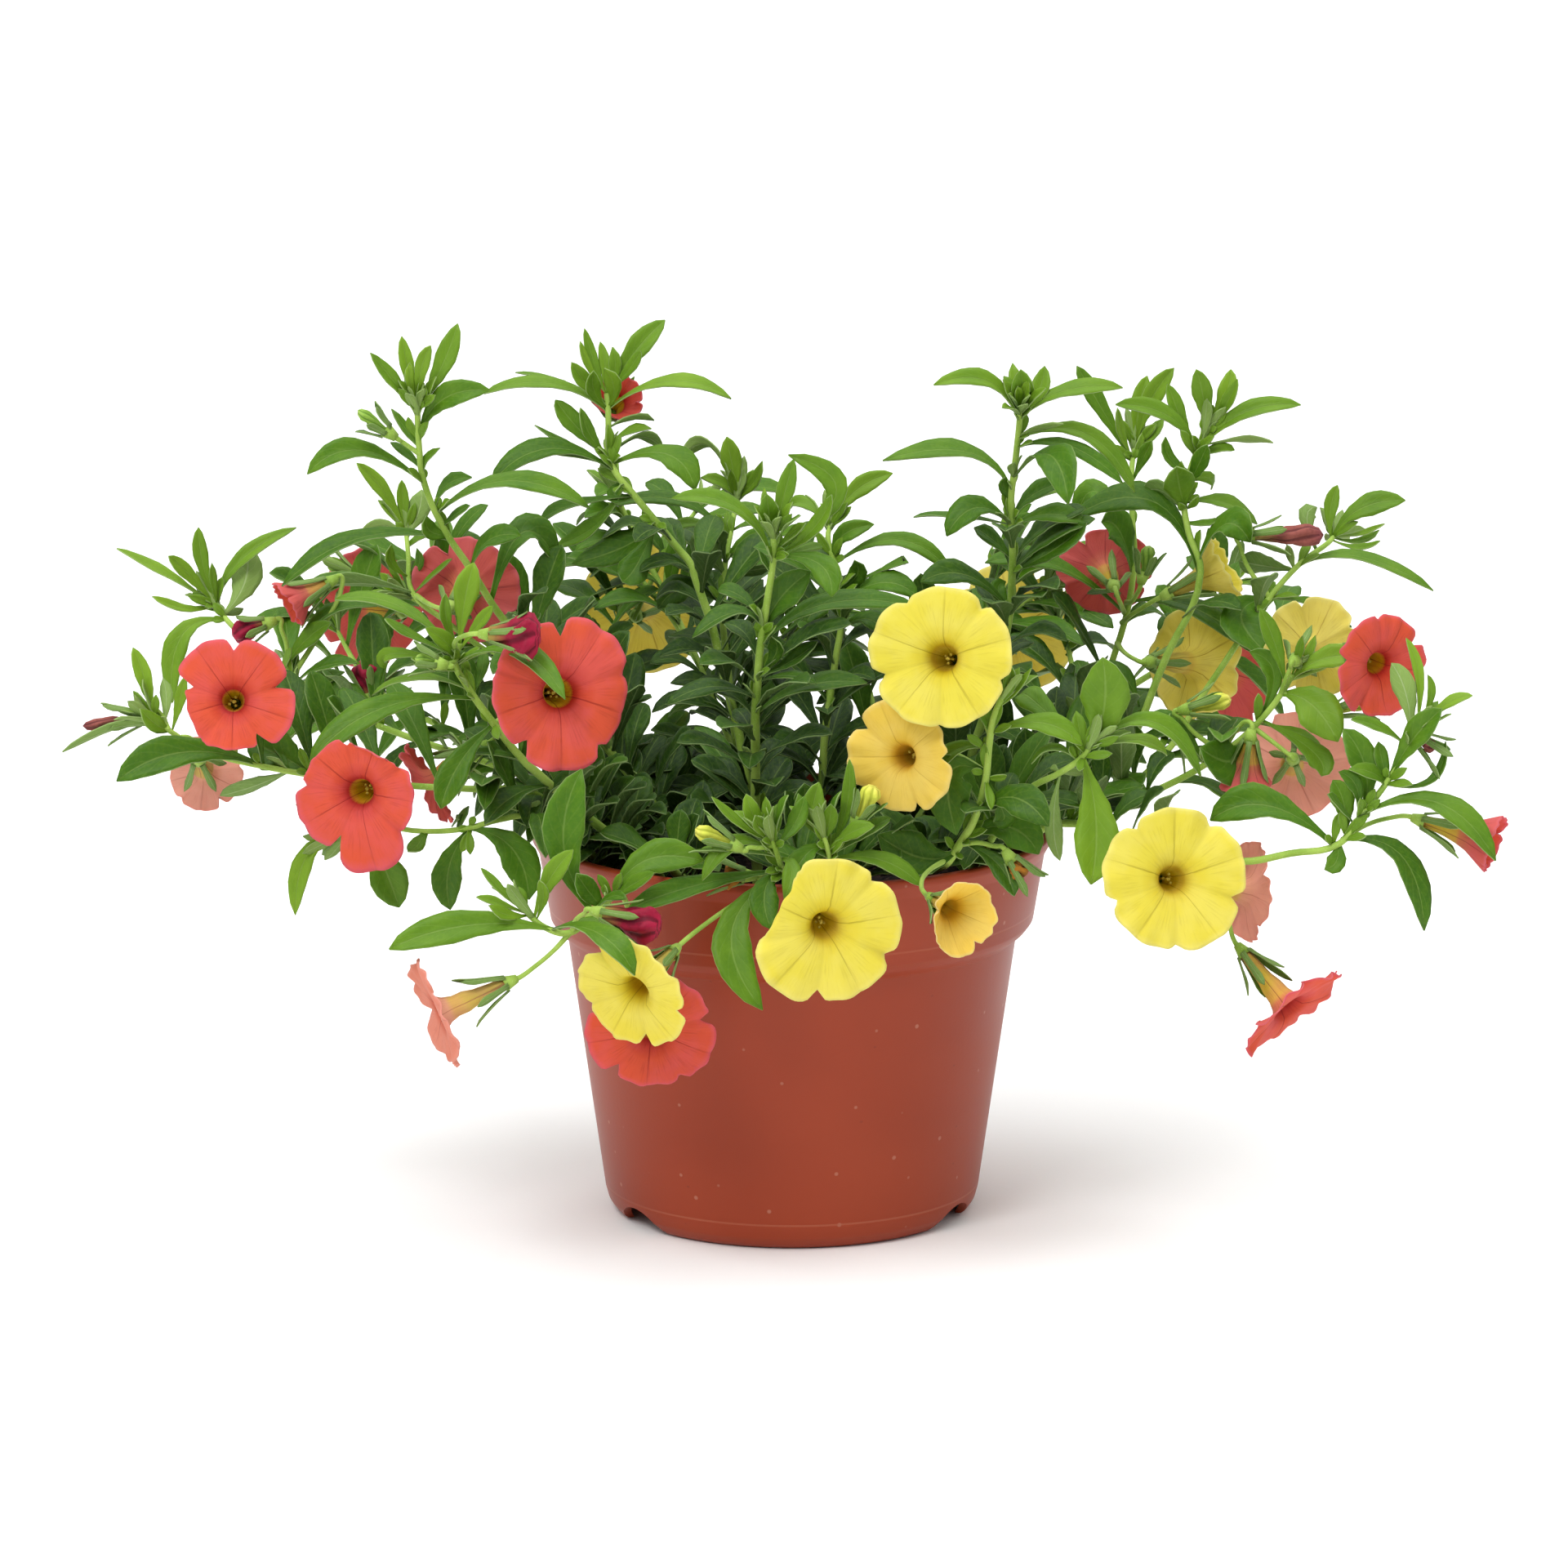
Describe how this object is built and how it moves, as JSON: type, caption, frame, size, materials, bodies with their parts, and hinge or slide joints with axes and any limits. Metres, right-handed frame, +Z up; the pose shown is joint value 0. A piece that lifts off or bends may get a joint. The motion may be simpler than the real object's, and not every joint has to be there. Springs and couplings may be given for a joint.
{
  "type": "calibrachoa in a pot",
  "caption": "Trailing bedding plant with small trumpet flowers, grown in a tapered round pot of soil.",
  "frame": {"origin": "on the pot's axis, at the level that its foot stands on", "axes": "+Z up the pot's axis, +X to the right in the picture, which looks along +Y"},
  "size_m": [0.3248, 0.198, 0.2105],
  "materials": {
    "pot_plastic": "injection-moulded terracotta-coloured polypropylene with a faint sheen",
    "potting_soil": null,
    "leafy_shoot": null,
    "petal_yellow": "thin living petal",
    "petal_amber": "thin living petal",
    "petal_coral": "thin living petal",
    "petal_peach": "thin living petal"
  },
  "bodies": {
    "root": {"bud_red_front": "petal_coral", "bud_red_middle": "petal_coral", "corolla_amber": "petal_amber", "corolla_coral_back": "petal_coral", "corolla_coral_back_right": "petal_coral", "corolla_coral_far_right": "petal_coral", "corolla_coral_hanging": "petal_coral", "corolla_coral_left": "petal_coral", "corolla_coral_low": "petal_coral", "corolla_coral_middle": "petal_coral", "corolla_peach_hanging": "petal_peach", "corolla_peach_left": "petal_peach", "corolla_peach_right": "petal_peach", "corolla_red_far_left": "petal_coral", "corolla_red_fold_left": "petal_coral", "corolla_red_fold_right": "petal_coral", "corolla_red_front": "petal_coral", "corolla_red_right": "petal_coral", "corolla_red_right_back": "petal_coral", "corolla_red_top": "petal_coral", "corolla_red_top_left": "petal_coral", "corolla_salmon_right": "petal_peach", "corolla_yellow_back": "petal_yellow", "corolla_yellow_back_left": "petal_yellow", "corolla_yellow_back_right": "petal_yellow", "corolla_yellow_front": "petal_yellow", "corolla_yellow_hidden": "petal_yellow", "corolla_yellow_left": "petal_yellow", "corolla_yellow_right": "petal_yellow", "corolla_yellow_side": "petal_yellow", "corolla_yellow_top": "petal_yellow", "corolla_yellow_wilting": "petal_amber", "pot": "pot_plastic", "potting_soil": "potting_soil", "shoot_back_far_left": "leafy_shoot", "shoot_back_far_right": "leafy_shoot", "shoot_back_left": "leafy_shoot", "shoot_back_middle": "leafy_shoot", "shoot_back_right": "leafy_shoot", "shoot_centre": "leafy_shoot", "shoot_front_centre": "leafy_shoot", "shoot_front_left": "leafy_shoot", "shoot_front_right": "leafy_shoot", "shoot_front_tip": "leafy_shoot", "shoot_left_back": "leafy_shoot", "shoot_left_front": "leafy_shoot", "shoot_left_hanging": "leafy_shoot", "shoot_left_high": "leafy_shoot", "shoot_left_low": "leafy_shoot", "shoot_right_crown": "leafy_shoot", "shoot_right_front": "leafy_shoot", "shoot_right_high": "leafy_shoot", "shoot_right_middle": "leafy_shoot", "shoot_right_outer": "leafy_shoot", "shoot_right_trailing": "leafy_shoot", "shoot_top_left": "leafy_shoot", "shoot_top_middle": "leafy_shoot", "shoot_top_right": "leafy_shoot", "shoot_top_right_back": "leafy_shoot", "shoot_upper_middle": "leafy_shoot"}
  },
  "joints": []
}
